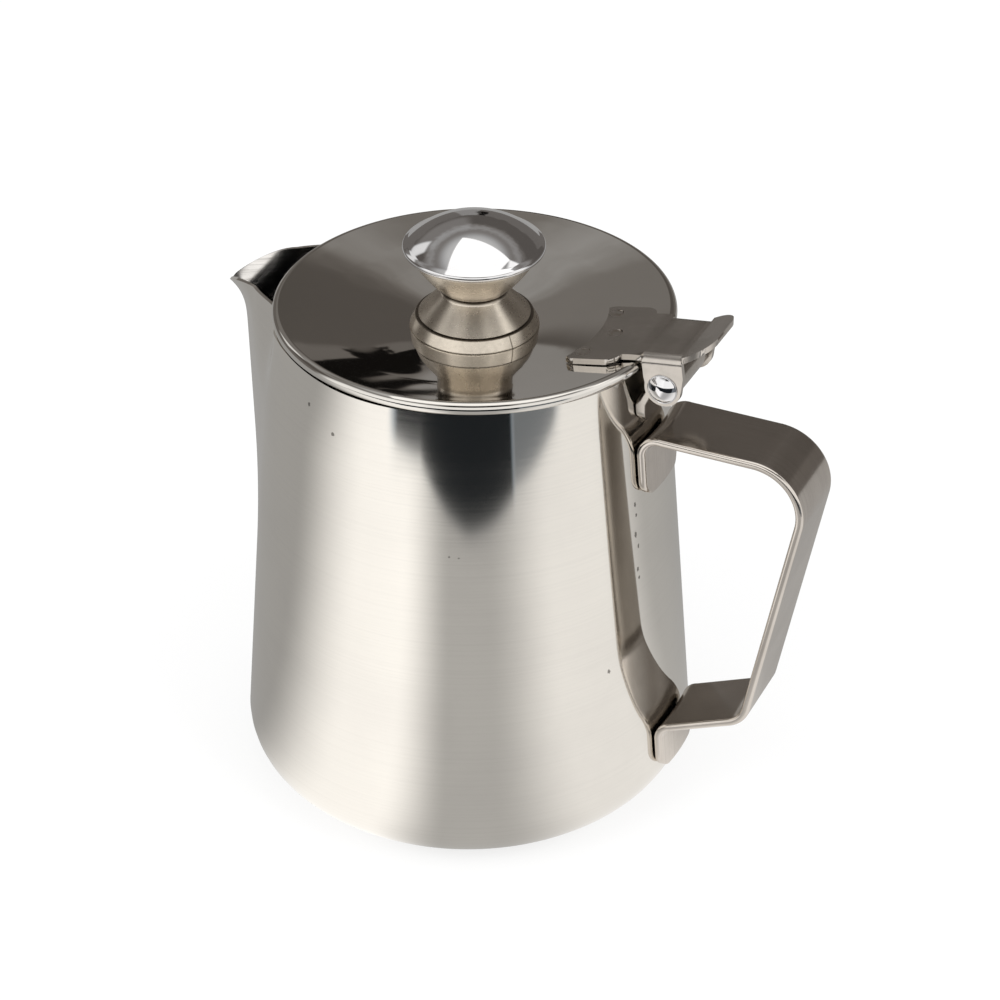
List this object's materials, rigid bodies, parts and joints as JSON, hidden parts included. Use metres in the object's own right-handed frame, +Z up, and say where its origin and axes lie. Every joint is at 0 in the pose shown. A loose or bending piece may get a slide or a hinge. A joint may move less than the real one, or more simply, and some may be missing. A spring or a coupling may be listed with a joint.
{
  "type": "hot milk jug with hinged lid",
  "caption": "Tapered steel jug with a V beak, a strip handle, and a hinged lid with a turned knob and a thumb lever.",
  "frame": {"origin": "centre of the flat bottom, on the axis of the round body", "axes": "+Z up along the body's axis, +X from the beak towards the handle, +Y along the hinge pin"},
  "size_m": [0.1529, 0.112, 0.1509],
  "materials": {
    "satin_body": "satin to polished, brushed round the body",
    "satin_strip": "satin strip with bright rounded edges",
    "weld_spots": "dull fused metal",
    "mirror_steel": "polished",
    "grey_sheet": "grey satin",
    "turned_steel": "turned, satin",
    "screw_steel": "plain"
  },
  "bodies": {
    "jug": {"jug_shell": "satin_body", "handle": "satin_strip", "wall_welds": "weld_spots", "hinge_leaf": "satin_strip"},
    "lid": {"hinge_pin": "mirror_steel", "thumb_lever": "grey_sheet", "lever_welds": "weld_spots", "lid": "mirror_steel", "knob_flange": "turned_steel", "knob_collar": "turned_steel", "knob_cup": "turned_steel", "knob_cap": "mirror_steel", "knob_screw": "screw_steel", "knob_washer": "screw_steel"}
  },
  "joints": [
    {"name": "lid_hinge", "type": "hinge", "parent": "jug", "child": "lid", "pos_m": [0.0542, 0, 0.124], "axis": [0, 1, 0], "range_deg": [0, 105]}
  ]
}
